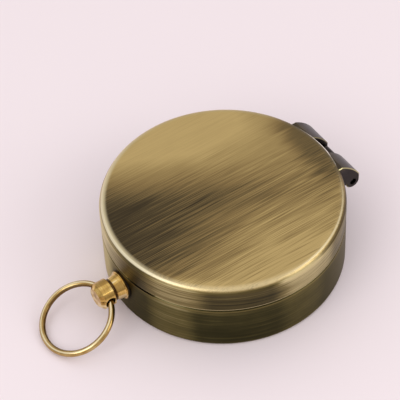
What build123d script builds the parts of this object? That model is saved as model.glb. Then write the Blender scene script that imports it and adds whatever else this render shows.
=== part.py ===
from build123d import *
import math
import os

# A round pocket compass with a hinged lid, in millimetres.
# Origin: centre of the flat underside. +Z up, hinge at +Y, pendant and bow at -Y.

# Case and lid
case_radius = 25.0
total_height = 17.0
seam_height = 10.8
seam_gap = 0.12
floor_thickness = 1.4
base_round = 0.8
edge_break = 0.2
lip_inset = 1.35
lip_rise = 1.4
lip_wall = 1.05
lip_clearance = 0.2
lid_top_thickness = 1.0
lid_round = 1.5
lid_inner_round = 0.6

# Nail nick in the lid's lower edge, between two bearings counted from +X
nick_start_angle = 276.0
nick_end_angle = 293.0
nick_height = 0.35
nick_depth = 0.7

# Hinge
hinge_axis_offset = 1.95
hinge_width = 16.4
case_knuckle_width = 4.8
knuckle_side_gap = 0.15
ear_radius = 1.65
ear_top_drop = 0.4
ear_top_inset = 0.8
ear_bulge = 0.46
shoulder_rise = 1.4
case_knuckle_radius = 1.6
leaf_length = 5.2
leaf_thickness = 0.5
leaf_bulge = 0.2
knuckle_wall_gap = 0.25
pin_radius = 0.7
pin_running_clearance = 0.04
pin_press_clearance = 0.01
pin_recess = 0.6

# Pendant: a turned stud on the wall, its axis along -Y
pendant_height = 6.6
tenon_radius = 1.4
tenon_length = 1.7
tenon_clearance = 0.02
washer_radius = 2.9
washer_thickness = 0.25
foot_radius = 3.05
foot_thickness = 0.45
collar_radius = 2.7
collar_neck_radius = 2.35
collar_length = 1.8
groove_radius = 1.9
groove_width = 0.5
head_radius = 2.85
head_length = 3.3
head_end_radius = 2.0
head_end_taper = 0.75
cross_hole_radius = 1.08
cross_hole_flare = 0.2
cross_hole_from_neck = 1.35
spot_face_clearance = 0.1

# Bow: a wire ring through the pendant's cross hole, its far end resting on the floor
bow_radius = 7.6
bow_wire_radius = 0.65
bow_floor_gap = 0.03

# Glass stack
ledge_height = 7.4
ledge_width = 1.0
seat_clearance = 0.05
gasket_thickness = 0.3
glass_thickness = 1.2
glass_edge_break = 0.2
bezel_height = 1.3
bezel_width = 1.8
bezel_slope_width = 0.8

# Dial and degree ring
dial_thickness = 0.5
dial_clearance = 0.1
degree_ring_height = 3.0
degree_ring_foot_width = 3.4
degree_ring_top_width = 0.8
degree_ring_foot_height = 0.4

# Pivot and needle
post_flange_radius = 2.0
post_flange_height = 0.5
post_radius = 1.1
post_height = 1.3
post_tenon_radius = 0.9
post_tenon_depth = 0.8
post_tenon_clearance = 0.02
point_radius = 0.4
point_tip_radius = 0.04
point_tip_height = 5.3
point_cone_length = 1.1
point_press_clearance = 0.01
needle_end_gap = 1.6
needle_half_width = 2.3
needle_hub_radius = 2.9
needle_thickness = 0.4
needle_below_tip = 0.55
cap_radius = 1.45
cap_flange_radius = 2.2
cap_flange_height = 0.3
cap_skirt = 0.2
cap_round = 0.4
cap_clearance = 0.02
cap_roof = 0.4
jewel_radius = 0.9
jewel_height = 0.8
jewel_cup_radius = 0.55
jewel_cup_depth = 0.4
jewel_play = 0.04
sleeve_distance = 9.0
sleeve_length = 1.4
sleeve_wall = 0.3

# Worked out from the sizes above
rim_height = seam_height - seam_gap / 2
lid_bottom = seam_height + seam_gap / 2
lip_top = seam_height + lip_rise
lip_radius = case_radius - lip_inset
lid_inner_radius = lip_radius + lip_clearance
seat_radius = lip_radius - lip_wall
cavity_radius = seat_radius - ledge_width
glass_bottom = ledge_height + gasket_thickness
glass_top = glass_bottom + glass_thickness
dial_top = floor_thickness + dial_thickness
hinge_y = case_radius + hinge_axis_offset
hinge_z = seam_height
ear_width = (hinge_width - case_knuckle_width) / 2 - knuckle_side_gap
ear_start = case_knuckle_width / 2 + knuckle_side_gap
pin_length = hinge_width - 2 * pin_recess
pendant_seat = math.sqrt(case_radius**2 - foot_radius**2)
collar_start = washer_thickness + foot_thickness
groove_start = collar_start + collar_length
head_start = groove_start + groove_width
head_end = head_start + head_length
cross_hole_distance = head_start + cross_hole_from_neck
bow_axis_y = -(pendant_seat + cross_hole_distance)
dial_radius = cavity_radius - dial_clearance
needle_half_length = dial_radius - degree_ring_foot_width - needle_end_gap
needle_bottom = point_tip_height - needle_below_tip - needle_thickness
needle_top = needle_bottom + needle_thickness


def turned(points):
    # A solid turned about Z from a closed outline of (radius, height) points
    outline = Plane.XZ * Polyline(*points, close=True)
    return revolve(make_face(outline), Axis.Z)


def tube(outer, inner, bottom, height):
    return turned([(inner, bottom), (outer, bottom), (outer, bottom + height), (inner, bottom + height)])


def disc(radius, bottom, height):
    return Pos(0, 0, bottom + height / 2) * Cylinder(radius, height)


def bar_along_x(radius, length, y, z):
    return Pos(0, y, z) * Rot(0, 90, 0) * Cylinder(radius, length)


def knuckle_bar(root, shoulder, bulge, radius, width):
    # A bar along +X from x = 0: a barrel on the hinge axis, with a foot that runs
    # from the barrel's outer side, over a shoulder, in a bulged line to its root on the wall
    barrel_side = (hinge_y + radius, hinge_z)
    inner_y = case_radius / 2
    chord = math.hypot(root[0] - shoulder[0], root[1] - shoulder[1])
    lean = bulge / chord
    crest_y = (root[0] + shoulder[0]) / 2 + lean * abs(root[1] - shoulder[1])
    crest_z = (root[1] + shoulder[1]) / 2 + lean * math.copysign(shoulder[0] - root[0], root[1] - hinge_z)
    outline = [
        ThreePointArc(root, (crest_y, crest_z), shoulder),
        Polyline(shoulder, barrel_side, (inner_y, hinge_z), (inner_y, root[1]), root),
    ]
    section = make_face(outline) + Pos(hinge_y, hinge_z) * Circle(radius)
    bar = extrude(Plane.YZ * section, width, dir=(1, 0, 0))
    end_edges = bar.edges().group_by(Axis.X)
    return chamfer(end_edges[0] + end_edges[-1], edge_break)


def lid_outside():
    # The lid's outer shape as a full drum, used for the lid and to seat the hinge ears on it
    drum = disc(case_radius, lid_bottom, total_height - lid_bottom)
    top_edge = drum.edges().group_by(Axis.Z)[-1]
    return fillet(top_edge, lid_round)


def make_lid_shell():
    lid = lid_outside()
    lower_edge = lid.edges().group_by(Axis.Z)[0]
    lid = chamfer(lower_edge, edge_break)
    hollow = disc(lid_inner_radius, lid_bottom, total_height - lid_top_thickness - lid_bottom)
    hollow = fillet(hollow.edges().group_by(Axis.Z)[-1], lid_inner_round)
    lid -= hollow
    nick_radius = case_radius - nick_depth
    nick_outer = case_radius + nick_depth
    nick_turn = nick_end_angle - nick_start_angle
    nick_points = [
        (nick_radius, lid_bottom - nick_height),
        (nick_outer, lid_bottom - nick_height),
        (nick_outer, lid_bottom + nick_height),
        (nick_radius, lid_bottom + nick_height),
    ]
    nick_face = make_face(Plane.XZ * Polyline(*nick_points, close=True))
    nick = Rot(0, 0, nick_start_angle) * revolve(nick_face, Axis.Z, nick_turn)
    return lid - nick


def make_case_body():
    case = disc(case_radius, 0, rim_height)
    case = fillet(case.edges().group_by(Axis.Z)[0], base_round)
    case = chamfer(case.edges().group_by(Axis.Z)[-1], edge_break)
    lip = disc(lip_radius, floor_thickness, lip_top - floor_thickness)
    case += chamfer(lip.edges().group_by(Axis.Z)[-1], edge_break)
    case -= disc(cavity_radius, floor_thickness, lip_top)
    case -= disc(seat_radius, ledge_height, lip_top)
    case -= disc(post_tenon_radius, floor_thickness - post_tenon_depth, post_tenon_depth)
    spot_face = disc(foot_radius + spot_face_clearance, 0, head_end)
    tenon_hole = disc(tenon_radius, -tenon_length, tenon_length)
    return case - on_pendant_axis(spot_face + tenon_hole)


def on_pendant_axis(solid):
    # Local +Z becomes -Y, starting from the flat seat cut in the wall
    seat = Plane(origin=(0, -pendant_seat, pendant_height), x_dir=(1, 0, 0), z_dir=(0, -1, 0))
    return seat * solid


def make_pendant_washer():
    return on_pendant_axis(tube(washer_radius, tenon_radius + tenon_clearance, 0, washer_thickness))


def make_pendant_post():
    tenon = tenon_radius - tenon_clearance
    stud = turned([
        (0, tenon_clearance - tenon_length),
        (tenon, tenon_clearance - tenon_length),
        (tenon, washer_thickness),
        (foot_radius, washer_thickness),
        (foot_radius, collar_start - edge_break / 2),
        (foot_radius - edge_break / 2, collar_start),
        (collar_radius, collar_start),
        (collar_neck_radius, groove_start),
        (groove_radius, groove_start),
        (groove_radius, head_start),
        (head_radius - edge_break, head_start),
        (head_radius, head_start + edge_break),
        (head_radius, head_end - head_end_taper),
        (head_end_radius, head_end),
        (0, head_end),
    ])
    flare_start = head_radius - cross_hole_flare
    flare_end = head_radius + cross_hole_flare
    flare_radius = cross_hole_radius + flare_end - flare_start
    drill = turned([
        (0, -flare_end),
        (flare_radius, -flare_end),
        (cross_hole_radius, -flare_start),
        (cross_hole_radius, flare_start),
        (flare_radius, flare_end),
        (0, flare_end),
    ])
    return on_pendant_axis(stud - Pos(0, 0, cross_hole_distance) * Rot(0, 90, 0) * drill)


def make_bow_ring():
    # The wire curves inside the cross hole, so the ring is set back by half of that bow
    sagitta = bow_radius - math.sqrt(bow_radius**2 - head_radius**2)
    centre_distance = bow_radius - sagitta / 2
    reach = centre_distance + bow_radius
    droop = math.degrees(math.asin((pendant_height - bow_wire_radius - bow_floor_gap) / reach))
    ring = Pos(0, -centre_distance, 0) * Torus(bow_radius, bow_wire_radius)
    return Pos(0, bow_axis_y, pendant_height) * Rot(droop, 0, 0) * ring


def make_lid_knuckle(side):
    # A teardrop ear: its foot starts at the lid's top edge and slopes out and down round the barrel
    root = (case_radius - ear_top_inset, total_height - ear_top_drop)
    shoulder = (hinge_y + ear_radius, hinge_z + shoulder_rise)
    ear_centre = ear_start + ear_width / 2
    ear = knuckle_bar(root, shoulder, ear_bulge, ear_radius, ear_width)
    ear = Pos(side * ear_centre - ear_width / 2, 0, 0) * ear
    ear -= bar_along_x(pin_radius + pin_running_clearance, 2 * hinge_width, hinge_y, hinge_z)
    ear -= lid_outside()
    return ear - disc(case_radius + knuckle_wall_gap, 0, lid_bottom)


def make_case_knuckle():
    # The middle knuckle: its leaf lies on the case wall below the seam
    root = (case_radius + leaf_thickness, hinge_z - leaf_length)
    shoulder = (hinge_y + case_knuckle_radius, hinge_z - shoulder_rise)
    knuckle = knuckle_bar(root, shoulder, leaf_bulge, case_knuckle_radius, case_knuckle_width)
    knuckle = Pos(-case_knuckle_width / 2, 0, 0) * knuckle
    knuckle -= bar_along_x(pin_radius + pin_press_clearance, 2 * hinge_width, hinge_y, hinge_z)
    knuckle -= disc(case_radius, 0, rim_height)
    return knuckle - disc(case_radius + knuckle_wall_gap, rim_height, total_height)


def make_hinge_pin():
    pin = bar_along_x(pin_radius, pin_length, hinge_y, hinge_z)
    ends = pin.edges().filter_by(GeomType.CIRCLE)
    return chamfer(ends, edge_break / 2)


def make_degree_ring():
    top = dial_top + degree_ring_height
    return turned([
        (dial_radius - degree_ring_foot_width, dial_top),
        (dial_radius, dial_top),
        (dial_radius, top),
        (dial_radius - degree_ring_top_width, top),
        (dial_radius - degree_ring_foot_width, dial_top + degree_ring_foot_height),
    ])


def make_dial_plate():
    plate = disc(dial_radius, floor_thickness, dial_thickness)
    return plate - disc(post_tenon_radius, floor_thickness, dial_thickness)


def make_pivot_post():
    bore = point_radius + point_press_clearance
    tenon = post_tenon_radius - post_tenon_clearance
    top = dial_top + post_height
    return turned([
        (bore, dial_top),
        (0, dial_top),
        (0, floor_thickness - post_tenon_depth + post_tenon_clearance),
        (tenon, floor_thickness - post_tenon_depth + post_tenon_clearance),
        (tenon, dial_top),
        (post_flange_radius, dial_top),
        (post_flange_radius, dial_top + post_flange_height),
        (post_radius, dial_top + post_flange_height),
        (post_radius, top),
        (bore, top),
    ])


def make_pivot_pin():
    return turned([
        (0, dial_top),
        (point_radius, dial_top),
        (point_radius, point_tip_height - point_cone_length),
        (point_tip_radius, point_tip_height),
        (0, point_tip_height),
    ])


def make_compass_needle():
    lozenge = Polyline(
        (0, needle_half_length),
        (-needle_half_width, 0),
        (0, -needle_half_length),
        (needle_half_width, 0),
        close=True,
    )
    plan = make_face(lozenge) + Circle(needle_hub_radius)
    plan -= Circle(cap_radius + cap_clearance)
    return Pos(0, 0, needle_bottom) * extrude(plan, needle_thickness)


def make_needle_jewel():
    cup_apex = point_tip_height + jewel_play
    bottom = cup_apex - jewel_cup_depth
    top = bottom + jewel_height
    return turned([
        (jewel_cup_radius, bottom),
        (jewel_radius, bottom),
        (jewel_radius, top),
        (0, top),
        (0, cup_apex),
    ])


def make_needle_cap():
    bore = jewel_radius + cap_clearance
    jewel_top = point_tip_height + jewel_play - jewel_cup_depth + jewel_height
    top = jewel_top + cap_roof
    skirt_bottom = needle_bottom - cap_skirt
    return turned([
        (bore, skirt_bottom),
        (cap_radius, skirt_bottom),
        (cap_radius, needle_top),
        (cap_flange_radius, needle_top),
        (cap_flange_radius, needle_top + cap_flange_height),
        (cap_radius, needle_top + cap_flange_height),
        (cap_radius, top - cap_round),
        (cap_radius - cap_round, top),
        (0, top),
        (0, jewel_top),
        (bore, jewel_top),
    ])


def make_balance_sleeve():
    # A clip folded round the needle's south arm
    needle_width = 2 * needle_half_width * (1 - (sleeve_distance - sleeve_length / 2) / needle_half_length)
    clip = Box(needle_width + 2 * sleeve_wall, sleeve_length, needle_thickness + 2 * sleeve_wall)
    clip = Pos(0, -sleeve_distance, needle_bottom + needle_thickness / 2) * clip
    return clip - make_compass_needle()


def make_crystal():
    glass = disc(seat_radius - seat_clearance, glass_bottom, glass_thickness)
    return chamfer(glass.edges().filter_by(GeomType.CIRCLE), glass_edge_break)


def make_crystal_gasket():
    outer = seat_radius - seat_clearance
    return tube(outer, cavity_radius, ledge_height, gasket_thickness)


def make_crystal_bezel():
    outer = seat_radius - seat_clearance
    top = glass_top + bezel_height
    return turned([
        (outer - bezel_width, glass_top),
        (outer, glass_top),
        (outer, top),
        (outer - bezel_width + bezel_slope_width, top),
        (outer - bezel_width, top - bezel_slope_width),
    ])


pieces = {
    "case_body": make_case_body(),
    "lid_shell": make_lid_shell(),
    "lid_knuckle_left": make_lid_knuckle(-1),
    "lid_knuckle_right": make_lid_knuckle(1),
    "case_knuckle": make_case_knuckle(),
    "hinge_pin": make_hinge_pin(),
    "pendant_post": make_pendant_post(),
    "pendant_washer": make_pendant_washer(),
    "bow_ring": make_bow_ring(),
    "dial_plate": make_dial_plate(),
    "degree_ring": make_degree_ring(),
    "pivot_post": make_pivot_post(),
    "pivot_pin": make_pivot_pin(),
    "compass_needle": make_compass_needle(),
    "needle_cap": make_needle_cap(),
    "needle_jewel": make_needle_jewel(),
    "balance_sleeve": make_balance_sleeve(),
    "crystal_gasket": make_crystal_gasket(),
    "crystal": make_crystal(),
    "crystal_bezel": make_crystal_bezel(),
}

os.makedirs("parts", exist_ok=True)
for name, piece in pieces.items():
    export_step(piece, f"parts/{name}.step")
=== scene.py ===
import math

import bpy
from mathutils import Matrix, Vector


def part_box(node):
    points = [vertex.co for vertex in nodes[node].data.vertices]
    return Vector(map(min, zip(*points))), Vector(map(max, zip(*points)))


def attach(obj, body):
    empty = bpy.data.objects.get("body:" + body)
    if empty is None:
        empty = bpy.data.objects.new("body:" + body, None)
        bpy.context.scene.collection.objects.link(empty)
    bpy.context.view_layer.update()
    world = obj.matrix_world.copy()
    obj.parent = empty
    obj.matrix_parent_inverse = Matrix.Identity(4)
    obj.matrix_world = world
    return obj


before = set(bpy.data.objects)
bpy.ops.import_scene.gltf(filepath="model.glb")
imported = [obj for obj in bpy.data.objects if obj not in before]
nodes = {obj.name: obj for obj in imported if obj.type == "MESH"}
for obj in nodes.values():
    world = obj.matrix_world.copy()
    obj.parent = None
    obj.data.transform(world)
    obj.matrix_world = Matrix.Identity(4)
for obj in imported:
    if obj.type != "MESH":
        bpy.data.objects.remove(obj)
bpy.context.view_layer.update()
print("frame loaded:", len(nodes), "nodes")

mm = 0.001
caseRadius = 25 * mm


def span(first, second):
    # two lengths given in millimetres
    return first * mm, second * mm


def paint(red, green, blue):
    # a screen colour of 0 to 255 as linear light
    def linear(value):
        share = value / 255
        return share / 12.92 if share <= 0.04045 else ((share + 0.055) / 1.055) ** 2.4
    return (linear(red), linear(green), linear(blue), 1.0)


class Wire:
    # one node output, so shader sums read as plain arithmetic
    def __init__(self, graph, socket):
        self.graph = graph
        self.socket = socket

    def __add__(self, other):
        return self.graph.compute("ADD", self, other)

    def __radd__(self, other):
        return self.graph.compute("ADD", other, self)

    def __sub__(self, other):
        return self.graph.compute("SUBTRACT", self, other)

    def __rsub__(self, other):
        return self.graph.compute("SUBTRACT", other, self)

    def __mul__(self, other):
        return self.graph.compute("MULTIPLY", self, other)

    def __rmul__(self, other):
        return self.graph.compute("MULTIPLY", other, self)

    def __truediv__(self, other):
        return self.graph.compute("DIVIDE", self, other)

    def __neg__(self):
        return self.graph.compute("MULTIPLY", self, -1)

    def __abs__(self):
        return self.graph.compute("ABSOLUTE", self)


class Graph:
    # makes and links the nodes of a material or of the world
    def __init__(self, tree):
        self.tree = tree

    def node(self, kind, settings, sockets, output=0):
        made = self.tree.nodes.new(kind)
        for key, value in settings.items():
            if key == "stops":
                self.setStops(made.color_ramp, value)
            else:
                setattr(made, key, value)
        for key, value in sockets.items():
            self.feed(made.inputs[key], value)
        return Wire(self, made.outputs[output])

    def setStops(self, ramp, stops):
        while len(ramp.elements) < len(stops):
            ramp.elements.new(1.0)
        for element, (position, colour) in zip(ramp.elements, stops):
            element.position = position
            element.color = colour

    def feed(self, socket, value):
        if isinstance(value, Wire):
            self.tree.links.new(value.socket, socket)
        else:
            socket.default_value = value

    def compute(self, operation, first, second=0.0):
        return self.node("ShaderNodeMath", {"operation": operation}, {0: first, 1: second})

    def axis(self, vector, letter):
        return self.node("ShaderNodeSeparateXYZ", {}, {0: vector}, letter)


class Finish(Graph):
    # a material, with x, y and z as places on its piece in metres
    def __init__(self, name):
        self.material = bpy.data.materials.new(name)
        self.material.use_nodes = True
        super().__init__(self.material.node_tree)
        self.shader = self.tree.nodes["Principled BSDF"]
        self.place = self.node("ShaderNodeTexCoord", {}, {}, "Object")
        self.x, self.y, self.z = (self.axis(self.place, letter) for letter in "XYZ")

    def set(self, **inputs):
        for key, value in inputs.items():
            self.feed(self.shader.inputs[key.replace("_", " ")], value)

    def rise(self, value, ends):
        # 0 below the first end, 1 above the second, smooth between
        settings = {"interpolation_type": "SMOOTHSTEP"}
        sockets = {0: value, 1: ends[0], 2: ends[1], 3: 0.0, 4: 1.0}
        return self.node("ShaderNodeMapRange", settings, sockets)

    def fall(self, value, ends):
        return 1 - self.rise(value, ends)

    def band(self, value, place):
        # 1 near the middle, 0 beyond the half width
        middle, half = place
        return self.fall(abs(value - middle), (half / 2, half))

    def above(self, value, least):
        return self.compute("MAXIMUM", value - least, 0.0)

    def length(self, *sides):
        total = sides[0] * sides[0]
        for side in sides[1:]:
            total = total + side * side
        return self.compute("SQRT", total)

    def radius(self):
        return self.length(self.x, self.y)

    def noise(self, scale, detail, rough):
        # scale is per metre along x, y and z, and the noise runs from 0 to 1 about 0.5
        mapped = self.node("ShaderNodeMapping", {}, {"Vector": self.place, "Scale": scale})
        sockets = {"Vector": mapped, "Scale": 1.0, "Detail": detail, "Roughness": rough}
        return self.node("ShaderNodeTexNoise", {}, sockets)

    def ramp(self, value, stops):
        return self.node("ShaderNodeValToRGB", {"stops": stops}, {0: value})

    def mix(self, share, first, second):
        settings = {"data_type": "RGBA", "clamp_factor": True}
        return self.node("ShaderNodeMix", settings, {0: share, 6: first, 7: second}, 2)

    def bump(self, height, strength, distance):
        sockets = {"Strength": strength, "Distance": distance, "Height": height}
        return self.node("ShaderNodeBump", {}, sockets)

    def rubs(self, places):
        # patches round the wall, each a bearing, a spread in degrees and a strength; they place
        # painted highlights, reflections and shade
        total = 0.0
        for bearing, spread, strength in places:
            angle = math.radians(bearing)
            toward = self.x * math.cos(angle) + self.y * math.sin(angle)
            near = caseRadius * math.cos(math.radians(spread))
            total = total + strength * self.rise(toward, (near, caseRadius))
        return total


# In the finishes, a noise is its scale, detail and roughness. A span is a start and an end
# for rise and fall, and a middle and a half width for a band.
lidFinish = {
    "streaks": ((5000, 55, 5000), 2.0, 0.5),      # straight brushing from the stud to the hinge
    "broadStreaks": ((900, 30, 900), 3.0, 0.55),
    "hairlines": ((8600, 90, 8600), 1.0, 0.55),
    "scratches": ((4400, 80, 4400), 1.0, 0.55),
    "scratchCut": (0.58, 0.72),                   # the noise that counts as a scratch
    "turned": ((45, 45, 2800), 3.0, 0.6),         # brushing round the wall
    "blotches": ((150, 90, 150), 4.0, 0.55),
    "roughness": 0.36,
    "streakRoughness": 0.2,
    "wallRoughness": 0.06,
    "bump": (0.25, 0.03 * mm),
    "top": {
        "bandMiddle": 0.2 * mm,                   # dark band along the brushing, a little askew: patina with a painted reflection
        "bandLean": 0.40,
        "bandHalf": 1.5 * mm,
        "bandTone": 0.28,
        "bandRise": 16.5,                         # lighter towards the hinge, per metre
        "leftSlope": (50, 2200, -1000),           # how fast it clears, less towards hinge and stud
        "rightSlope": (39, 1200, 800),
        # darker towards the stud: patina with a painted reflection
        "studPatinaAndReflection": 0.08,
        "studPatinaAndReflectionAside": span(11, 6),
        "studPatinaAndReflectionAlong": span(4, 12),
        # painted highlight towards the stud on the right
        "cornerHighlight": 0.1,
        "cornerHighlightAside": span(16, 22),
        "cornerHighlightAlong": span(2, 8),
        # darker towards the hinge
        "hingeDarkening": 0.4,
        "hingeDarkeningAlong": span(16.5, 21.5),
        "hingeDarkeningWidth": span(7, 13),
        "hingeDarkeningRagged": span(9, 5),           # edge drawn out by broad and by fine streaks
        # painted highlight in a band across the top
        "middleHighlight": 0.05,
        "middleHighlightAlong": span(8, 10),
        # painted highlight on the top near the rim, at set bearings
        "rimHighlight": [(318, 36, 0.38), (222, 22, 0.3)],
        "rimHighlightRadius": span(21.4, 23.4),
        "limit": 0.93,
        "lift": 0.04,
        "bite": (0.35, 1.15),                     # depth of the brushing at the left, and its gain
        "biteAside": span(-15, 0),
        "streakDepth": 0.44,
        "hairlineDepth": 0.74,
        "scratchDepth": 0.14,
        "broadDepth": 0.22,
        "blotchDepth": 0.14,
        "colours": [
            (0.0, paint(66, 57, 41)),
            (0.25, paint(100, 86, 58)),
            (0.5, paint(136, 114, 73)),
            (0.75, paint(165, 142, 92)),
            (1.0, paint(196, 171, 114)),
        ],
    },
    "wall": {
        "height": span(16.1, 16.55),
        "radius": span(24.1, 24.3),
        "tone": 0.16,
        # painted reflections: lighter patches at set bearings round the wall
        "rubs": [
            (8, 21, 0.66), (248, 33, 0.62), (236, 26, 0.27), (302, 19, 0.46), (34, 18, 0.28),
        ],
        "upperLift": 0.12,
        "upperHeight": span(13, 15.5),
        "shoulderHighlight": [(3, 17, 0.45)],           # painted highlight just under the rounded edge
        "shoulderHeight": span(15.2, 15.9),
        "turnedDepth": 1.0,
        "blotchDepth": 0.2,
        "colours": [
            (0.0, paint(46, 42, 25)),
            (0.30, paint(86, 77, 46)),
            (0.60, paint(132, 119, 75)),
            (1.0, paint(212, 199, 148)),
        ],
    },
    "inside": {
        "height": span(16.1, 16.3),
        "radius": span(24.0, 24.2),
        "colours": [(0.3, paint(150, 124, 72)), (0.7, paint(182, 154, 94))],
    },
    "crownHighlight": {                                    # painted highlight on the rounded edge
        "radius": span(23.3, 24.3),
        "height": span(16.3, 16.6),
        "share": 0.4,
        "rubs": [(238, 62, 0.55), (30, 50, -0.34)],
        "hingeLoss": 0.85,
        "hingeAlong": span(19.5, 22),
        "colour": paint(232, 218, 176),
    },
    "shade": {                                    # painted shade low on the rounded edge
        "radius": span(24.4, 24.55),
        "height": span(15.9, 16.1),
        "rubs": [(36, 30, 0.75)],
        "colour": paint(66, 52, 26),
    },
    "edgeHighlights": [                              # painted highlights along the rounded edge
        {
            "radius": span(24.5, 0.4),
            "height": span(16.4, 16.55),
            "rubs": [(262, 56, 0.72)],
            "colour": paint(250, 241, 208),
        },
        {
            "radius": span(24.2, 0.22),
            "height": span(16.2, 16.4),
            "rubs": [(30, 45, 0.7)],
            "colour": paint(236, 222, 180),
        },
    ],
    "hingeHighlight": {                                # painted highlight on the worn edge between the ears
        "radius": span(24.65, 0.3),
        "height": span(16.1, 16.25),
        "along": span(21.5, 22.5),
        "width": span(6.2, 7.4),
        "colour": paint(255, 250, 236),
    },
    "lowerEdge": {
        "height": span(10.98, 0.3),
        "radius": span(24.7, 24.8),
        "share": 0.7,
        "colour": paint(205, 190, 142),
    },
    "nick": {                                     # painted shade in the nail nick
        "inner": span(24.2, 24.28),
        "outer": span(24.7, 24.8),
        "height": span(11.25, 11.35),
        "colour": paint(20, 15, 9),
    },
}


def lidTop(f, streaks, blotches, radius):
    # a dark band along the brushing, deepest towards the stud: patina with a painted reflection of
    # the brushed metal
    v = lidFinish["top"]
    broad = f.noise(*lidFinish["broadStreaks"])
    hairlines = f.noise(*lidFinish["hairlines"])
    scratches = f.rise(f.noise(*lidFinish["scratches"]), lidFinish["scratchCut"])
    aside = f.x - v["bandMiddle"] - v["bandLean"] * f.y
    toHinge = f.above(f.y, 0)
    toStud = f.above(-f.y, 0)
    tone = v["bandTone"] + v["bandRise"] * f.y
    for side, slopes in ((-aside, v["leftSlope"]), (aside, v["rightSlope"])):
        slope, hingeLoss, studLoss = slopes
        cleared = f.above(side, v["bandHalf"])
        tone = tone + cleared * (slope - hingeLoss * toHinge - studLoss * toStud)

    # the band deepened towards the stud, darker towards the hinge, and painted highlights
    studPatinaAndReflection = f.band(aside, v["studPatinaAndReflectionAside"]) * f.rise(-f.y, v["studPatinaAndReflectionAlong"])
    cornerHighlight = f.rise(aside, v["cornerHighlightAside"]) * f.rise(-f.y, v["cornerHighlightAlong"])
    broadShift, streakShift = v["hingeDarkeningRagged"]
    ragged = f.y + broadShift * (broad - 0.5) + streakShift * (streaks - 0.5)
    hingeDarkening = f.rise(ragged, v["hingeDarkeningAlong"]) * f.fall(abs(f.x), v["hingeDarkeningWidth"])
    tone = tone - v["studPatinaAndReflection"] * studPatinaAndReflection + v["cornerHighlight"] * cornerHighlight
    tone = tone - v["hingeDarkening"] * hingeDarkening
    tone = tone + v["middleHighlight"] * f.band(f.y, v["middleHighlightAlong"])
    tone = tone + f.rubs(v["rimHighlight"]) * f.rise(radius, v["rimHighlightRadius"])
    tone = f.compute("MINIMUM", tone, v["limit"])

    # the brushing shows least left of the band and most from its middle rightwards
    least, gain = v["bite"]
    bite = least + gain * f.rise(aside, v["biteAside"])
    brushing = v["streakDepth"] * (streaks - 0.5) + v["hairlineDepth"] * (hairlines - 0.5)
    brushing = brushing + v["broadDepth"] * (broad - 0.5) - v["scratchDepth"] * scratches
    tone = tone + bite * brushing + v["blotchDepth"] * (blotches - 0.5) + v["lift"]
    return f.ramp(tone, v["colours"])


def lidWall(f, turned, blotches):
    # olive brown, with painted reflections as lighter patches round the wall
    v = lidFinish["wall"]
    tone = v["tone"] + f.rubs(v["rubs"]) + v["upperLift"] * f.rise(f.z, v["upperHeight"])
    # painted highlight just under the rounded edge
    tone = tone + f.rubs(v["shoulderHighlight"]) * f.rise(f.z, v["shoulderHeight"])
    tone = tone + v["turnedDepth"] * (turned - 0.5) + v["blotchDepth"] * (blotches - 0.5)
    return f.ramp(tone, v["colours"])


def lidEdges(f, colour, radius):
    # painted highlights and shade on the rounded edge and between the ears, and painted shade in
    # the nick
    v = lidFinish["crownHighlight"]
    crownHighlight = f.rise(radius, v["radius"]) * f.rise(f.z, v["height"])
    crownHighlight = crownHighlight * (1 - v["hingeLoss"] * f.rise(f.y, v["hingeAlong"]))
    colour = f.mix(crownHighlight * (v["share"] + f.rubs(v["rubs"])), colour, v["colour"])
    v = lidFinish["shade"]
    shade = f.rise(radius, v["radius"]) * f.rise(f.z, v["height"])
    colour = f.mix(shade * f.rubs(v["rubs"]), colour, v["colour"])
    for v in lidFinish["edgeHighlights"]:
        line = f.band(radius, v["radius"]) * f.rise(f.z, v["height"])
        colour = f.mix(line * f.rubs(v["rubs"]), colour, v["colour"])
    v = lidFinish["hingeHighlight"]
    line = f.band(radius, v["radius"]) * f.rise(f.z, v["height"])
    line = line * f.rise(f.y, v["along"]) * f.fall(abs(f.x), v["width"])
    colour = f.mix(line, colour, v["colour"])
    v = lidFinish["lowerEdge"]
    edge = f.band(f.z, v["height"]) * f.rise(radius, v["radius"])
    colour = f.mix(edge * v["share"], colour, v["colour"])
    v = lidFinish["nick"]
    nick = f.rise(radius, v["inner"]) * f.fall(radius, v["outer"]) * f.fall(f.z, v["height"])
    return f.mix(nick, colour, v["colour"])


def brushedLid():
    f = Finish("brushedLidBrass")
    v = lidFinish
    streaks = f.noise(*v["streaks"])
    turned = f.noise(*v["turned"])
    blotches = f.noise(*v["blotches"])
    radius = f.radius()
    wall = f.fall(f.z, v["wall"]["height"]) * f.rise(radius, v["wall"]["radius"])
    inside = f.fall(f.z, v["inside"]["height"]) * f.fall(radius, v["inside"]["radius"])
    top = lidTop(f, streaks, blotches, radius)
    colour = f.mix(wall, top, lidWall(f, turned, blotches))
    colour = f.mix(inside, colour, f.ramp(streaks, v["inside"]["colours"]))
    colour = lidEdges(f, colour, radius)
    grain = streaks * (1 - wall) + turned * wall
    roughness = v["roughness"] + v["streakRoughness"] * (streaks - 0.5) * (1 - wall)
    f.set(Base_Color=colour, Metallic=1.0, Roughness=roughness + v["wallRoughness"] * wall)
    f.set(Normal=f.bump(grain, *v["bump"]))
    return f.material


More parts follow.
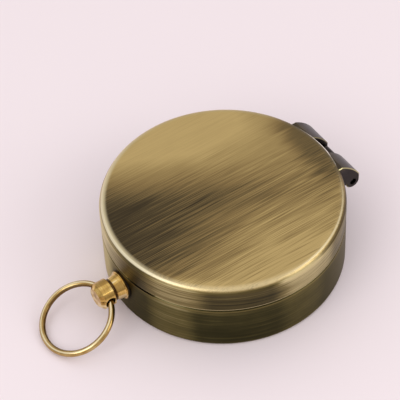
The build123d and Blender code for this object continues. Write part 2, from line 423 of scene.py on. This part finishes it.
caseFinish = {
    "turned": ((42, 42, 2600), 3.0, 0.6),         # brushing round the wall
    "blotches": ((170, 170, 260), 4.0, 0.55),
    "roughness": 0.40,
    "turnedRoughness": 0.16,
    "bump": (0.2, 0.03 * mm),
    "glancingTint": paint(250, 243, 226),
    "wall": {
        "tone": 0.2,
        # painted reflections: lighter patches at set bearings round the wall
        "rubs": [(5, 16, 0.17), (248, 16, 0.35), (240, 36, 0.5), (300, 15, 0.32)],
        "turnedDepth": 0.75,
        "blotchDepth": 0.24,
        "upperLift": 0.12,
        "upperHeight": span(8.2, 10.4),
        "colours": [
            (0.0, paint(33, 33, 17)),
            (0.25, paint(60, 57, 32)),
            (0.55, paint(104, 96, 57)),
            (1.0, paint(192, 182, 134)),
        ],
    },
    "edges": {
        "rimHeight": span(10.4, 0.3),
        "rimRadius": span(24.9, 24.95),
        "rimShare": 0.35,
        "footHeight": span(0.3, 0.5),
        "footRadius": span(24.3, 24.6),
        "footShare": 0.3,
        "colour": paint(150, 132, 82),
    },
    "seam": {                                     # painted shade under the lid's edge, most at the nick
        "height": span(10.5, 10.6),
        "radius": span(23.9, 24.0),
        "share": 0.5,
        "rubs": [(284.5, 10, 2.0)],
        "colour": paint(16, 13, 8),
    },
    "underside": {                                # brushed straight, scuffed where it stands
        "height": span(0.05, 0.3),
        "brushing": ((4200, 75, 4200), 2.0, 0.55),
        "scuffs": ((900, 260, 900), 3.0, 0.55),
        "scuffCut": (0.55, 0.68),
        "scuffRadius": span(19, 24),
        "tone": 0.5,
        "brushingDepth": 1.4,
        "blotchDepth": 0.4,
        "scuffLift": 0.3,
        "colours": [
            (0.0, paint(52, 48, 29)),
            (0.5, paint(92, 82, 50)),
            (1.0, paint(168, 150, 100)),
        ],
    },
    "cornerDarkening": {                                    # darker in the corner round the stud's foot
        "studHeight": 6.6 * mm,
        "reach": span(3.1, 4.0),
        "along": span(20, 23),
        "share": 0.8,
        "colour": paint(24, 19, 13),
    },
    "lip": {                                      # clean brass under the lid
        "radius": span(23.7, 23.9),
        "height": span(1.0, 1.5),
        "colours": [(0.3, paint(150, 122, 70)), (0.7, paint(186, 158, 98))],
    },
}


def caseWall(f, turned, blotches, radius):
    v = caseFinish["wall"]
    # the patches at set bearings are painted reflections
    tone = v["tone"] + f.rubs(v["rubs"]) + v["turnedDepth"] * (turned - 0.5)
    tone = tone + v["blotchDepth"] * (blotches - 0.5)
    tone = tone + v["upperLift"] * f.rise(f.z, v["upperHeight"])
    colour = f.ramp(tone, v["colours"])
    v = caseFinish["edges"]
    rim = f.band(f.z, v["rimHeight"]) * f.rise(radius, v["rimRadius"])
    foot = f.band(f.z, v["footHeight"]) * f.rise(radius, v["footRadius"])
    colour = f.mix(rim * v["rimShare"] + foot * v["footShare"], colour, v["colour"])
    # painted shade under the lid's edge, most at the nick
    v = caseFinish["seam"]
    seam = f.rise(f.z, v["height"]) * f.rise(radius, v["radius"])
    return f.mix(seam * (v["share"] + f.rubs(v["rubs"])), colour, v["colour"])


def caseUnderside(f, blotches, radius):
    v = caseFinish["underside"]
    brushing = f.noise(*v["brushing"])
    scuffs = f.rise(f.noise(*v["scuffs"]), v["scuffCut"]) * f.rise(radius, v["scuffRadius"])
    tone = v["tone"] + v["brushingDepth"] * (brushing - 0.5)
    tone = tone + v["blotchDepth"] * (blotches - 0.5) + v["scuffLift"] * scuffs
    return f.ramp(tone, v["colours"])


def brushedCase():
    f = Finish("darkCaseBrass")
    v = caseFinish
    turned = f.noise(*v["turned"])
    blotches = f.noise(*v["blotches"])
    radius = f.radius()
    under = f.fall(f.z, v["underside"]["height"])
    wall = caseWall(f, turned, blotches, radius)
    colour = f.mix(under, wall, caseUnderside(f, blotches, radius))
    # darker round the stud's foot
    fromStud = f.length(f.x, f.z - v["cornerDarkening"]["studHeight"])
    cornerDarkening = f.fall(fromStud, v["cornerDarkening"]["reach"]) * f.rise(-f.y, v["cornerDarkening"]["along"])
    colour = f.mix(cornerDarkening * v["cornerDarkening"]["share"], colour, v["cornerDarkening"]["colour"])
    lip = f.fall(radius, v["lip"]["radius"]) * f.rise(f.z, v["lip"]["height"])
    colour = f.mix(lip, colour, f.ramp(turned, v["lip"]["colours"]))
    f.set(Base_Color=colour, Metallic=1.0, Specular_Tint=v["glancingTint"])
    f.set(Roughness=v["roughness"] + v["turnedRoughness"] * (turned - 0.5))
    f.set(Normal=f.bump(turned, *v["bump"]))
    return f.material


hingeFinish = {
    "streaks": ((260, 2600, 2600), 3.0, 0.55),
    "blotches": ((420, 420, 420), 4.0, 0.55),
    "tone": 0.27,
    "streakDepth": 0.45,
    "blotchDepth": 0.4,
    "upperLift": 0.3,                             # lighter towards the top, where the ears meet the lid's top
    "upperHeight": span(14.5, 16.6),
    "colours": [
        (0.0, paint(30, 26, 25)),
        (0.4, paint(56, 50, 47)),
        (0.75, paint(92, 82, 62)),
        (1.0, paint(124, 110, 76)),
    ],
    "outerEnds": span(8.09, 0.11),                # painted highlight on the edges of the ears' end faces
    "innerEnds": span(2.66, 0.1),
    "innerShare": 0.5,
    "endShare": 0.85,
    "endColour": paint(200, 190, 142),
    "pin": span(26.95, 10.8),                     # y and z of its axis
    # painted shade in the gap round the pin
    "bore": span(0.72, 0.9),
    "boreColour": paint(14, 11, 10),
    "roughness": 0.34,
    "streakRoughness": 0.2,
    "bump": (0.15, 0.02 * mm),
}


def darkBronze():
    f = Finish("darkHingeBronze")
    v = hingeFinish
    streaks = f.noise(*v["streaks"])
    blotches = f.noise(*v["blotches"])
    tone = v["tone"] + v["streakDepth"] * (streaks - 0.5) + v["blotchDepth"] * (blotches - 0.5)
    tone = tone + v["upperLift"] * f.rise(f.z, v["upperHeight"])
    # painted highlight on the edges of the ears' end faces
    ends = f.band(abs(f.x), v["outerEnds"]) + v["innerShare"] * f.band(abs(f.x), v["innerEnds"])
    pinY, pinZ = v["pin"]
    # painted shade in the gap round the pin
    bore = f.fall(f.length(f.y - pinY, f.z - pinZ), v["bore"])
    colour = f.mix(ends * v["endShare"], f.ramp(tone, v["colours"]), v["endColour"])
    colour = f.mix(bore, colour, v["boreColour"])
    f.set(Base_Color=colour, Metallic=1.0)
    f.set(Roughness=v["roughness"] + v["streakRoughness"] * (streaks - 0.5))
    f.set(Normal=f.bump(streaks, *v["bump"]))
    return f.material


brassFinish = {
    "blotches": ((500, 500, 500), 4.0, 0.55),
    "tone": 0.5,
    "markDepth": 0.5,
    "blotchDepth": 0.9,
    "roughness": 0.148,
    "blotchRoughness": 0.14,
    "bump": (0.08, 0.02 * mm),
    "insideMarks": ((300, 300, 4200), 2.0, 0.55),  # of the lathe, on the pieces under the lid
    "insideColours": [
        (0.0, paint(142, 104, 52)),
        (0.5, paint(198, 160, 94)),
        (1.0, paint(228, 196, 130)),
    ],
}
studFinish = {
    "marks": ((300, 4200, 300), 2.0, 0.55),       # of the lathe
    "colours": [
        (0.0, paint(152, 112, 48)),
        (0.5, paint(214, 177, 100)),
        (1.0, paint(250, 228, 162)),
    ],
    "stripes": ((620, 60, 620), 1.0, 0.55),       # painted reflections: light and dark stripes along the stud
    "darkStripes": (0.52, 0.62),
    "darkShare": 0.6,
    "darkColour": paint(128, 91, 40),
    "brightStripes": (0.38, 0.48),
    "brightShare": 0.7,
    "brightColour": paint(252, 234, 184),
    "neckDarkening": span(27.6, 0.5),                 # darker in the groove and at the foot
    "footDarkening": span(25.1, 0.3),
    "wallEnd": span(24.8, 24.9),
    "darkeningShare": 0.8,
    "darkeningColour": paint(70, 38, 16),
}
wireFinish = {
    "marks": ((260, 260, 260), 2.0, 0.55),        # of the drawing die
    "colours": [
        (0.0, paint(116, 90, 46)),
        (0.5, paint(178, 147, 88)),
        (1.0, paint(228, 206, 152)),
    ],
    "crest": span(7.72, 0.2),                     # painted highlight along the wire's crest, at this distance from the ring's middle
    "crestShare": 0.75,
    "crestColour": paint(250, 238, 198),
    "inner": span(7.0, 7.5),                      # painted shade on the inner side of the wire
    "innerShare": 0.8,
    "innerColour": paint(84, 56, 24),
}


def polishedBrass(name, marks, colours):
    f = Finish(name)
    v = brassFinish
    marks = f.noise(*marks)
    blotches = f.noise(*v["blotches"])
    tone = v["tone"] + v["markDepth"] * (marks - 0.5) + v["blotchDepth"] * (blotches - 0.5)
    f.tone = f.ramp(tone, colours)
    f.set(Base_Color=f.tone, Metallic=1.0)
    f.set(Roughness=v["roughness"] + v["blotchRoughness"] * (blotches - 0.5))
    f.set(Normal=f.bump(marks, *v["bump"]))
    return f


def insideBrass():
    f = polishedBrass("turnedBrass", brassFinish["insideMarks"], brassFinish["insideColours"])
    return f.material


def studBrass():
    v = studFinish
    f = polishedBrass("studBrass", v["marks"], v["colours"])
    # painted reflections: light and dark stripes along the stud
    stripes = f.noise(*v["stripes"])
    darkStripes = f.rise(stripes, v["darkStripes"]) * v["darkShare"]
    brightStripes = f.fall(stripes, v["brightStripes"]) * v["brightShare"]
    colour = f.mix(darkStripes, f.tone, v["darkColour"])
    colour = f.mix(brightStripes, colour, v["brightColour"])
    # darker in the groove and at the foot
    darkening = f.band(-f.y, v["neckDarkening"]) + f.band(-f.y, v["footDarkening"])
    darkening = darkening * f.rise(-f.y, v["wallEnd"])
    f.set(Base_Color=f.mix(darkening * v["darkeningShare"], colour, v["darkeningColour"]))
    return f.material


def wireBrass():
    v = wireFinish
    f = polishedBrass("wireBrass", v["marks"], v["colours"])
    low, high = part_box("bow_ring")
    middle = [(low[i] + high[i]) / 2 for i in range(3)]
    reach = f.length(f.x - middle[0], f.y - middle[1], f.z - middle[2])
    # painted highlight along the wire's crest
    crest = f.band(reach, v["crest"]) * v["crestShare"]
    # painted shade on the inner side of the wire
    inner = f.fall(reach, v["inner"]) * v["innerShare"]
    colour = f.mix(crest, f.tone, v["crestColour"])
    f.set(Base_Color=f.mix(inner, colour, v["innerColour"]))
    return f.material


def grained(name, v):
    # one grain gives both the colour and the roughness
    f = Finish(name)
    f.grain = f.noise(*v["grain"])
    f.tone = f.ramp(f.grain, v["colours"])
    f.set(Base_Color=f.tone, Metallic=v["metallic"])
    f.set(Roughness=v["roughness"] + v["grainRoughness"] * (f.grain - 0.5))
    return f


steelFinish = {
    "grain": ((4000, 300, 4000), 3.0, 0.55),
    "colours": [(0.3, paint(120, 118, 114)), (0.7, paint(176, 174, 168))],
    "metallic": 1.0,
    "roughness": 0.3,
    "grainRoughness": 0.15,
}
rubberFinish = {
    "grain": ((2500, 2500, 2500), 4.0, 0.55),
    "colours": [(0.3, paint(22, 18, 15)), (0.7, paint(42, 36, 31))],
    "metallic": 0.0,
    "roughness": 0.75,
    "grainRoughness": 0.2,
}
dialFinish = {
    "fibre": ((1500, 1500, 1500), 5.0, 0.55),
    "fibreDepth": 0.35,
    "stains": ((90, 90, 90), 4.0, 0.55),
    "stainDepth": 0.9,
    "tone": 0.5,
    "colours": [
        (0.0, paint(206, 190, 150)),
        (0.5, paint(232, 221, 188)),
        (1.0, paint(244, 236, 210)),
    ],
    "outerLine": span(17.4, 0.22),
    "innerLine": span(9.6, 0.14),
    "shortTicks": (72, 0.16),                     # how many, and their width as a share of the step
    "shortTickRadius": span(16.7, 0.5),
    "longTicks": (12, 0.045),
    "longTickRadius": span(16.3, 1.0),
    "lineColour": paint(38, 32, 26),
    "roughness": 0.55,
    "fibreRoughness": 0.2,
    "bump": (0.08, 0.02 * mm),
}
scaleFinish = {
    "grain": ((1800, 1800, 1800), 4.0, 0.55),
    "colours": [(0.3, paint(28, 27, 26)), (0.7, paint(44, 42, 40))],
    "metallic": 0.0,
    "roughness": 0.5,
    "grainRoughness": 0.2,
    "shortTicks": (180, 0.22),
    "shortTickRadius": span(19.6, 0.9),
    "longTicks": (36, 0.08),
    "longTickRadius": span(19.2, 1.6),
    "tickColour": paint(226, 216, 184),
}


def ringTicks(f, radius, place, count, width):
    # evenly spaced marks round a full turn, inside a band of radius
    turn = f.compute("ARCTAN2", f.x, f.y) / (2 * math.pi) + 1.0
    part = f.compute("FRACT", turn * count + 0.5)
    softSides = (width * 0.4, width * 0.6)
    return f.band(radius, place) * f.fall(abs(part - 0.5), softSides)


def dialFace():
    f = Finish("dialFace")
    v = dialFinish
    fibre = f.noise(*v["fibre"])
    stains = f.noise(*v["stains"])
    tone = v["tone"] + v["fibreDepth"] * (fibre - 0.5) + v["stainDepth"] * (stains - 0.5)
    radius = f.radius()
    lines = f.band(radius, v["outerLine"]) + f.band(radius, v["innerLine"])
    lines = lines + ringTicks(f, radius, v["shortTickRadius"], *v["shortTicks"])
    lines = lines + ringTicks(f, radius, v["longTickRadius"], *v["longTicks"])
    f.set(Base_Color=f.mix(lines, f.ramp(tone, v["colours"]), v["lineColour"]))
    f.set(Roughness=v["roughness"] + v["fibreRoughness"] * (fibre - 0.5))
    f.set(Normal=f.bump(fibre, *v["bump"]))
    return f.material


def scaleFace():
    v = scaleFinish
    f = grained("degreeScale", v)
    radius = f.radius()
    ticks = ringTicks(f, radius, v["shortTickRadius"], *v["shortTicks"])
    ticks = ticks + ringTicks(f, radius, v["longTickRadius"], *v["longTicks"])
    f.set(Base_Color=f.mix(ticks, f.tone, v["tickColour"]))
    return f.material


needleFinish = {
    "grain": ((3000, 300, 3000), 3.0, 0.55),
    "colours": [(0.3, paint(150, 26, 20)), (0.7, paint(184, 40, 30))],        # north half
    "southColours": [(0.3, paint(34, 44, 74)), (0.7, paint(56, 68, 102))],
    "middle": span(-0.05, 0.05),
    "metallic": 0.4,
    "roughness": 0.32,
    "grainRoughness": 0.2,
}
jewelFinish = {
    "cloud": ((900, 900, 900), 3.0, 0.55),
    "colours": [(0.3, paint(150, 20, 44)), (0.7, paint(196, 44, 70))],
    "roughness": 0.08,
}
glassFinish = {
    "colour": paint(226, 236, 230),
    "roughness": 0.03,
    "alpha": 0.10,
    "rimAlpha": 0.30,
    "rim": span(21.9, 22.5),
}


def needlePaint():
    v = needleFinish
    f = grained("needlePaint", v)
    north = f.rise(f.y, v["middle"])
    f.set(Base_Color=f.mix(north, f.ramp(f.grain, v["southColours"]), f.tone))
    return f.material


def cupJewel():
    f = Finish("cupJewel")
    v = jewelFinish
    f.set(Base_Color=f.ramp(f.noise(*v["cloud"]), v["colours"]), Roughness=v["roughness"])
    return f.material


def windowGlass():
    f = Finish("windowGlass")
    v = glassFinish
    f.set(Base_Color=v["colour"], Roughness=v["roughness"])
    f.set(Alpha=v["alpha"] + v["rimAlpha"] * f.rise(f.radius(), v["rim"]))
    return f.material


def dress(material, *names):
    for name in names:
        slots = nodes[name].data.materials
        slots.clear()
        slots.append(material)


dress(brushedLid(), "lid_shell")
dress(brushedCase(), "case_body")
dress(darkBronze(), "lid_knuckle_left", "lid_knuckle_right", "case_knuckle")
dress(studBrass(), "pendant_post")
dress(wireBrass(), "bow_ring")
dress(insideBrass(), "pivot_post", "needle_cap", "balance_sleeve", "crystal_bezel")
dress(grained("groundSteel", steelFinish).material, "hinge_pin", "pivot_pin")
dress(grained("sealRubber", rubberFinish).material, "pendant_washer", "crystal_gasket")
dress(dialFace(), "dial_plate")
dress(scaleFace(), "degree_ring")
dress(needlePaint(), "compass_needle")
dress(cupJewel(), "needle_jewel")
dress(windowGlass(), "crystal")
print("finishes set:", len(bpy.data.materials))

dialPrint = {
    "lift": 0.02 * mm,                            # print stands this far over the card
    "thickness": 0.02 * mm,
    "longStar": (8.6 * mm, 0.17),                 # its reach, and how far its waist draws in
    "shortStar": (5.8 * mm, 0.26),
    "letters": "NESW",
    "letterRadius": 12.2 * mm,
    "letterSize": 4.2 * mm,
    "numberStep": 30,                             # degrees
    "numberRadius": 14.6 * mm,
    "numberSize": 1.7 * mm,
    "curveSteps": 4,
    "ink": {
        "grain": ((2600, 2600, 2600), 4.0, 0.55),
        "colours": [(0.35, paint(36, 30, 25)), (0.7, paint(58, 52, 47))],
        "metallic": 0.0,
        "roughness": 0.5,
        "grainRoughness": 0.2,
    },
    "accentColours": [(0.35, paint(150, 34, 26)), (0.7, paint(172, 56, 48))],
}
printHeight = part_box("dial_plate")[1][2] + dialPrint["lift"]


def deselect():
    bpy.ops.object.select_all(action="DESELECT")


def finishPiece(piece, name, material, body):
    piece.name = name
    piece.data.name = name
    piece.data.materials.clear()
    piece.data.materials.append(material)
    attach(piece, body)


def makeStar(reach, waist, turn, height):
    # a four-pointed star: every second corner of a ring is drawn in, then the face is thickened
    middle = (0, 0, height)
    deselect()
    bpy.ops.mesh.primitive_circle_add(vertices=8, radius=reach, fill_type="NGON", location=middle)
    star = bpy.context.object
    bpy.ops.object.transform_apply(location=True, rotation=True, scale=True)
    bpy.ops.object.mode_set(mode="EDIT")
    bpy.ops.mesh.select_mode(type="VERT")
    bpy.ops.mesh.select_all(action="DESELECT")
    bpy.ops.object.mode_set(mode="OBJECT")
    for corner in star.data.vertices:
        quarter = math.atan2(corner.co.y, corner.co.x) / (math.pi / 2)
        corner.select = abs(quarter - round(quarter)) > 0.25      # on a diagonal
    bpy.ops.object.mode_set(mode="EDIT")
    bpy.ops.transform.resize(value=(waist, waist, 1), center_override=middle)
    bpy.ops.mesh.select_all(action="SELECT")
    bpy.ops.transform.rotate(value=turn, orient_axis="Z", center_override=middle)
    thicker = {"value": (0, 0, dialPrint["thickness"])}
    bpy.ops.mesh.extrude_region_move(TRANSFORM_OT_translate=thicker)
    bpy.ops.mesh.select_all(action="SELECT")
    bpy.ops.mesh.normals_make_consistent(inside=False)
    bpy.ops.object.mode_set(mode="OBJECT")
    return star


def makeWord(text, size, radius, bearing):
    # lettering that reads from the dial's middle, bearing in degrees clockwise from north
    angle = math.radians(bearing)
    place = (radius * math.sin(angle), radius * math.cos(angle), printHeight)
    deselect()
    bpy.ops.object.text_add(location=place, rotation=(0, 0, -angle))
    word = bpy.context.object
    word.data.body = text
    word.data.size = size
    word.data.align_x = "CENTER"
    word.data.align_y = "CENTER"
    word.data.extrude = dialPrint["thickness"]
    word.data.resolution_u = dialPrint["curveSteps"]
    bpy.ops.object.convert(target="MESH")
    bpy.ops.object.transform_apply(location=True, rotation=True, scale=True)
    return bpy.context.object


def joined(pieces):
    deselect()
    for piece in pieces:
        piece.select_set(True)
    bpy.context.view_layer.objects.active = pieces[0]
    bpy.ops.object.join()
    return bpy.context.object


ink = grained("dialInk", dialPrint["ink"]).material
accent = dict(dialPrint["ink"], colours=dialPrint["accentColours"])
accent = grained("dialAccent", accent).material
shortStar = makeStar(*dialPrint["shortStar"], math.radians(45), printHeight)
finishPiece(shortStar, "rose_short_points", accent, "case")
longStar = makeStar(*dialPrint["longStar"], 0, printHeight + 2 * dialPrint["thickness"])
finishPiece(longStar, "rose_long_points", ink, "case")
letters = [
    makeWord(text, dialPrint["letterSize"], dialPrint["letterRadius"], 90 * i)
    for i, text in enumerate(dialPrint["letters"])
]
finishPiece(joined(letters), "dial_letters", ink, "case")
numbers = [
    makeWord(str(bearing), dialPrint["numberSize"], dialPrint["numberRadius"], bearing)
    for bearing in range(0, 360, dialPrint["numberStep"]) if bearing % 90   # not under a letter
]
finishPiece(joined(numbers), "dial_numbers", ink, "case")
print("dial printed")

studio = {
    "floorSize": 3.0,
    "floorColour": paint(242, 231, 234),
    "floorRoughness": 0.9,
    "floorGloss": 0.1,
    "skyColour": paint(252, 248, 249),
    "skyHigh": 1.02,                              # light from overhead
    "skyLow": 0.62,                               # light from the horizon
    "boxSize": 0.35,
    "keyPlace": (0.12, -0.46, 0.40),
    "keyPower": 0.66,
    "fillPlace": (0.42, 0.34, 0.34),
    "fillPower": 0.66,
}

deselect()
bpy.ops.mesh.primitive_plane_add(size=studio["floorSize"], location=(0, 0, 0))
floor = bpy.context.object
floor.name = "studioFloor"
floorFinish = Finish("studioFloor")
floorFinish.set(Base_Color=studio["floorColour"], Roughness=studio["floorRoughness"])
floorFinish.set(Specular_IOR_Level=studio["floorGloss"])
floor.data.materials.append(floorFinish.material)

world = bpy.data.worlds.new("studioWorld")
world.use_nodes = True
bpy.context.scene.world = world
sky = Graph(world.node_tree)
height = sky.axis(sky.node("ShaderNodeTexCoord", {}, {}, "Generated"), "Z")
fade = {"Value": height, "To Min": studio["skyLow"], "To Max": studio["skyHigh"]}
backdrop = world.node_tree.nodes["Background"]
sky.feed(backdrop.inputs["Color"], studio["skyColour"])
sky.feed(backdrop.inputs["Strength"], sky.node("ShaderNodeMapRange", {}, fade))


def softbox(name, place, power):
    # a square lamp that faces the object
    lamp = bpy.data.lights.new(name, "AREA")
    lamp.shape = "SQUARE"
    lamp.size = studio["boxSize"]
    lamp.energy = power
    holder = bpy.data.objects.new(name, lamp)
    bpy.context.scene.collection.objects.link(holder)
    holder.location = place
    holder.rotation_euler = (-Vector(place)).to_track_quat("-Z", "Y").to_euler()


softbox("keySoftbox", studio["keyPlace"], studio["keyPower"])
softbox("fillSoftbox", studio["fillPlace"], studio["fillPower"])

view = {
    "azimuth": 57.0,
    "elevation": 48.81,
    "roll": 2.38,
    "distance": 378.6 * mm,
    "target": (0, 0, 8.5 * mm),
    "targetPixel": (223.6, 222.7),
    "pixelsPerMetre": 4882.7,                     # at the target
    "frameSize": 400,
    "sensorWidth": 36,
    "clipStart": 0.01,
}
azimuth = math.radians(view["azimuth"])
elevation = math.radians(view["elevation"])
roll = math.radians(view["roll"])
right = Vector((math.cos(azimuth), math.sin(azimuth), 0))
towardCamera = Vector((math.sin(azimuth), -math.cos(azimuth), 0)) * math.cos(elevation)
towardCamera.z = math.sin(elevation)
up = towardCamera.cross(right)
rolledRight = math.cos(roll) * right - math.sin(roll) * up
rolledUp = math.sin(roll) * right + math.cos(roll) * up
target = Vector(view["target"])
place = target + towardCamera * view["distance"]

# the camera turns a little aside, so that the target falls on its own pixel
middle = view["frameSize"] / 2
aside = (view["targetPixel"][0] - middle) / view["pixelsPerMetre"]
below = (view["targetPixel"][1] - middle) / view["pixelsPerMetre"]
aim = target - rolledRight * aside + rolledUp * below
cameraBack = (place - aim).normalized()
cameraRight = rolledUp.cross(cameraBack).normalized()
cameraUp = cameraBack.cross(cameraRight)
camera = bpy.data.cameras.new("photoCamera")
camera.sensor_width = view["sensorWidth"]
frameWidth = view["frameSize"] / view["pixelsPerMetre"]     # at the target
camera.lens = view["sensorWidth"] * view["distance"] / frameWidth
camera.clip_start = view["clipStart"]
cameraObject = bpy.data.objects.new("photoCamera", camera)
bpy.context.scene.collection.objects.link(cameraObject)
facing = Matrix((cameraRight, cameraUp, cameraBack)).transposed().to_4x4()
cameraObject.matrix_world = Matrix.Translation(place) @ facing
bpy.context.scene.camera = cameraObject
bpy.context.scene.view_settings.view_transform = "Standard"
print("studio and camera set")
